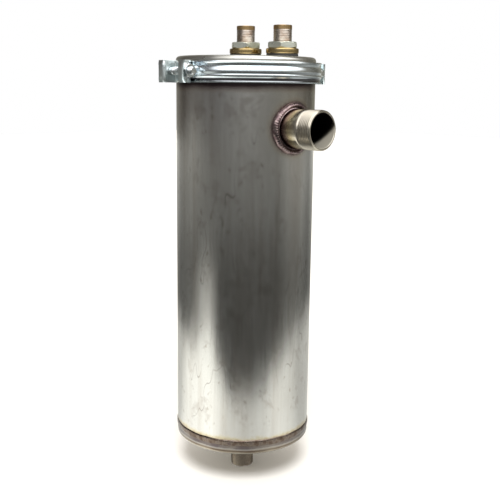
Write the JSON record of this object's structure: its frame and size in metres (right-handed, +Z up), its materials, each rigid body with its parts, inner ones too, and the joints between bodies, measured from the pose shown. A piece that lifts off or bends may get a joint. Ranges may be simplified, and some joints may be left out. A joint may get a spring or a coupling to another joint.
{
  "type": "uv clarifier",
  "caption": "Upright stainless UV clarifier: tube housing, clamped lid with lamp glands, quartz sleeves and lamps inside, threaded side outlet and bottom inlet.",
  "frame": {"origin": "on the housing axis, at the lower end of the bottom nipple", "axes": "+Z up along the housing axis, +X out through the side outlet"},
  "size_m": [0.2014, 0.2042, 0.5157],
  "materials": {
    "tube_steel": "2B mill finish stainless with soft vertical grain and heat stains",
    "cap_steel": "pressed stainless",
    "weld_steel": "heat tinted weld bead",
    "fitting_steel": "machined stainless pipe nipple",
    "lid_steel": "satin stainless",
    "zinc_band": "bright zinc plated steel strip",
    "zinc_lug": "zinc plated pressed steel",
    "zinc_bolt": "zinc plated fastener",
    "zinc_locknut": "nickel plated brass nut",
    "brass_gland": "turned brass, lightly tarnished",
    "brass_collar": "turned brass, lightly tarnished",
    "brass_nut": "turned brass",
    "seal_rubber": "black rubber",
    "oring_rubber": "black rubber",
    "quartz": "clear fused quartz",
    "lamp_glass": "clear lamp glass",
    "lamp_ceramic": "glazed ceramic end fitting",
    "pin_metal": "plated contact pin"
  },
  "bodies": {
    "vessel": {"housing_tube": "tube_steel", "vessel_flange": "cap_steel", "base_cap": "cap_steel", "base_weld": "weld_steel", "inlet_nipple": "fitting_steel", "inlet_weld": "weld_steel", "outlet_nipple": "fitting_steel", "outlet_weld": "weld_steel", "lid": "lid_steel", "lid_gasket": "seal_rubber", "gland_body_left": "brass_gland", "gland_inner_seal_left": "seal_rubber", "gland_top_seal_left": "seal_rubber", "gland_collar_left": "brass_collar", "sleeve_oring_left": "oring_rubber", "quartz_sleeve_left": "quartz", "gland_body_right": "brass_gland", "gland_inner_seal_right": "seal_rubber", "gland_top_seal_right": "seal_rubber", "gland_collar_right": "brass_collar", "sleeve_oring_right": "oring_rubber", "quartz_sleeve_right": "quartz"},
    "clamp_front": {"clamp_band_front": "zinc_band", "clamp_retainer_front": "zinc_band", "clamp_lugs_front": "zinc_lug", "clamp_washers_front": "zinc_bolt"},
    "clamp_rear": {"clamp_band_rear": "zinc_band", "clamp_retainer_rear": "zinc_band", "clamp_lugs_rear": "zinc_lug", "clamp_washers_rear": "zinc_bolt", "clamp_bolts": "zinc_bolt"},
    "clamp_nut_left": {"clamp_nut_left": "zinc_bolt"},
    "clamp_nut_right": {"clamp_nut_right": "zinc_bolt"},
    "lamp_left": {"lamp_tube_left": "lamp_glass", "lamp_top_fitting_left": "lamp_ceramic", "lamp_foot_fitting_left": "lamp_ceramic", "lamp_pins_left": "pin_metal"},
    "gland_locknut_left": {"gland_locknut_left": "zinc_locknut"},
    "sleeve_nut_left": {"sleeve_nut_left": "brass_nut"},
    "lamp_right": {"lamp_tube_right": "lamp_glass", "lamp_top_fitting_right": "lamp_ceramic", "lamp_foot_fitting_right": "lamp_ceramic", "lamp_pins_right": "pin_metal"},
    "gland_locknut_right": {"gland_locknut_right": "zinc_locknut"},
    "sleeve_nut_right": {"sleeve_nut_right": "brass_nut"}
  },
  "joints": [
    {"name": "clamp_front_release", "type": "slide", "parent": "vessel", "child": "clamp_front", "axis": [0.9982, -0.0593, 0], "range_m": [0, 0.03]},
    {"name": "clamp_rear_release", "type": "slide", "parent": "vessel", "child": "clamp_rear", "axis": [-0.9982, 0.0593, 0], "range_m": [0, 0.03]},
    {"name": "clamp_nut_left_spin", "type": "hinge", "parent": "clamp_front", "child": "clamp_nut_left", "pos_m": [0.01397, -0.09189, 0.4631], "axis": [0.9982, -0.0593, 0], "continuous": true},
    {"name": "clamp_nut_right_spin", "type": "hinge", "parent": "clamp_front", "child": "clamp_nut_right", "pos_m": [0.02476, 0.08959, 0.4631], "axis": [0.9982, -0.0593, 0], "continuous": true},
    {"name": "lamp_left_lift", "type": "slide", "parent": "vessel", "child": "lamp_left", "axis": [0, 0, 1], "range_m": [0, 0.43]},
    {"name": "lamp_right_lift", "type": "slide", "parent": "vessel", "child": "lamp_right", "axis": [0, 0, 1], "range_m": [0, 0.43]},
    {"name": "gland_locknut_left_spin", "type": "hinge", "parent": "vessel", "child": "gland_locknut_left", "pos_m": [-0.03435, 0.0306, 0.4938], "axis": [0, 0, 1], "continuous": true},
    {"name": "sleeve_nut_left_spin", "type": "hinge", "parent": "vessel", "child": "sleeve_nut_left", "pos_m": [-0.03435, 0.0306, 0.4514], "axis": [0, 0, 1], "continuous": true},
    {"name": "gland_locknut_right_spin", "type": "hinge", "parent": "vessel", "child": "gland_locknut_right", "pos_m": [0.01191, 0.04443, 0.4938], "axis": [0, 0, 1], "continuous": true},
    {"name": "sleeve_nut_right_spin", "type": "hinge", "parent": "vessel", "child": "sleeve_nut_right", "pos_m": [0.01191, 0.04443, 0.4514], "axis": [0, 0, 1], "continuous": true}
  ]
}
